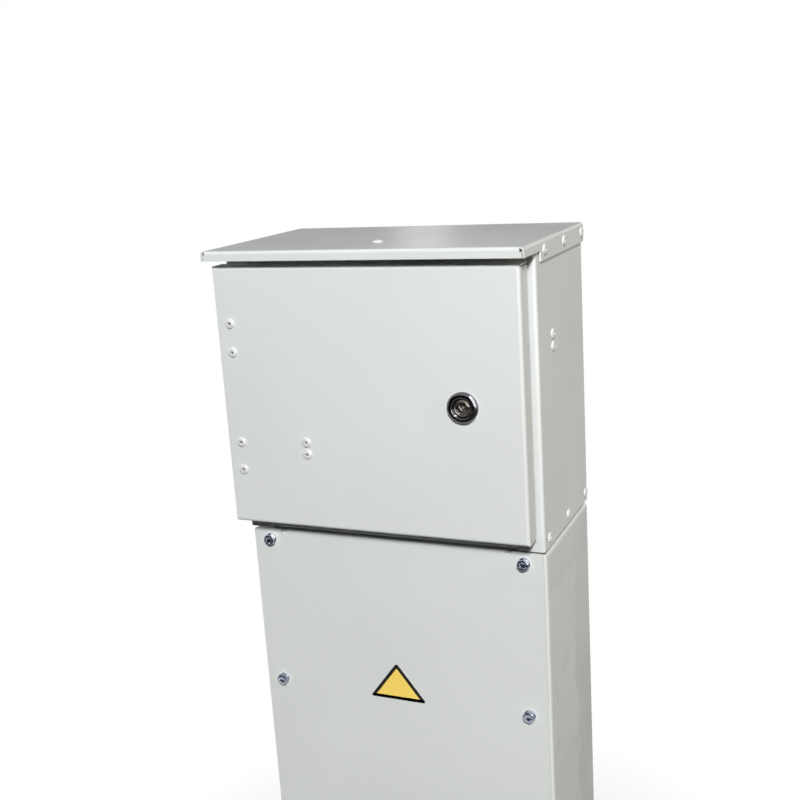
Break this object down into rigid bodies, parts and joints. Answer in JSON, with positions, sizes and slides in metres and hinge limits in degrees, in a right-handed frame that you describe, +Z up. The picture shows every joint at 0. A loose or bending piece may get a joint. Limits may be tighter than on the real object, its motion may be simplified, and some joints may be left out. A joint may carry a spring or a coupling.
{
  "type": "electrical distribution box",
  "caption": "Free-standing sheet-steel electrical distribution box: hinged lockable door under an overhanging rain roof, on a plinth with a bolted cable-space cover.",
  "frame": {"origin": "middle of the footprint box, on the ground", "axes": "+Z up, the door and the cover face -Y, +X to the right seen from the front"},
  "size_m": [0.307, 0.19, 0.707],
  "materials": {
    "paint": "semi-matt powder coat, light grey",
    "rivet": "painted rivet heads",
    "zinc": "zinc plated",
    "chrome": "polished chrome plating",
    "brass": "plain brass",
    "foam": "closed-cell foam",
    "rubber": "moulded rubber",
    "device": "fine matt moulding",
    "lever": "matt moulding",
    "neutral": "matt blue moulding"
  },
  "bodies": {
    "cabinet": {"body_shell": "paint", "roof": "paint", "head_rail": "paint", "floor_plate": "paint", "floor_grommets": "rubber", "roof_rivets": "rivet", "floor_rivets": "rivet", "bracket_rivets": "rivet", "rail_bracket_left": "zinc", "rail_bracket_right": "zinc", "din_rail": "zinc", "rail_screws": "zinc", "rail_nuts": "zinc", "main_switch": "device", "breaker_1": "device", "breaker_2": "device", "breaker_3": "device", "neutral_bar": "brass", "neutral_feet": "neutral", "neutral_screws": "zinc", "earth_bar": "brass", "earth_feet": "zinc", "earth_screws": "zinc", "upper_body_leaf": "zinc", "lower_body_leaf": "zinc", "body_leaf_rivets": "zinc", "hinge_pins": "zinc", "plinth_shell": "paint", "front_cover": "paint", "cover_bolts": "zinc", "cover_washers": "zinc", "cover_nuts": "zinc", "joint_spacers": "rubber", "joint_bolts": "zinc", "joint_nuts": "zinc", "cable_rail": "zinc"},
    "door": {"door": "paint", "door_gasket": "foam", "upper_door_leaf": "zinc", "lower_door_leaf": "zinc", "door_leaf_rivets": "rivet", "door_bracket": "zinc", "door_bracket_rivets": "rivet", "earth_stud": "brass", "earth_nut": "brass", "lock_housing": "chrome", "lock_nut": "zinc"},
    "lock": {"lock_cylinder": "chrome", "lock_cam": "zinc", "cam_screw": "zinc"},
    "main_lever": {"main_toggle": "lever"},
    "breaker_lever_1": {"breaker_toggle_1": "lever"},
    "breaker_lever_2": {"breaker_toggle_2": "lever"},
    "breaker_lever_3": {"breaker_toggle_3": "lever"}
  },
  "joints": [
    {"name": "door_hinge", "type": "hinge", "parent": "cabinet", "child": "door", "pos_m": [-0.1435, -0.07745, 0.5675], "axis": [0, 0, -1], "range_deg": [0, 120]},
    {"name": "lock_turn", "type": "hinge", "parent": "door", "child": "lock", "pos_m": [0.089, -0.083, 0.5675], "axis": [0, -1, 0], "range_deg": [0, 90]},
    {"name": "main_switch_throw", "type": "hinge", "parent": "cabinet", "child": "main_lever", "pos_m": [-0.0267, -0.029, 0.614], "axis": [-1, 0, 0], "range_deg": [0, 70]},
    {"name": "breaker_1_throw", "type": "hinge", "parent": "cabinet", "child": "breaker_lever_1", "pos_m": [0.0089, -0.029, 0.614], "axis": [-1, 0, 0], "range_deg": [0, 70]},
    {"name": "breaker_2_throw", "type": "hinge", "parent": "cabinet", "child": "breaker_lever_2", "pos_m": [0.0267, -0.029, 0.614], "axis": [-1, 0, 0], "range_deg": [0, 70]},
    {"name": "breaker_3_throw", "type": "hinge", "parent": "cabinet", "child": "breaker_lever_3", "pos_m": [0.0445, -0.029, 0.614], "axis": [-1, 0, 0], "range_deg": [0, 70]}
  ]
}
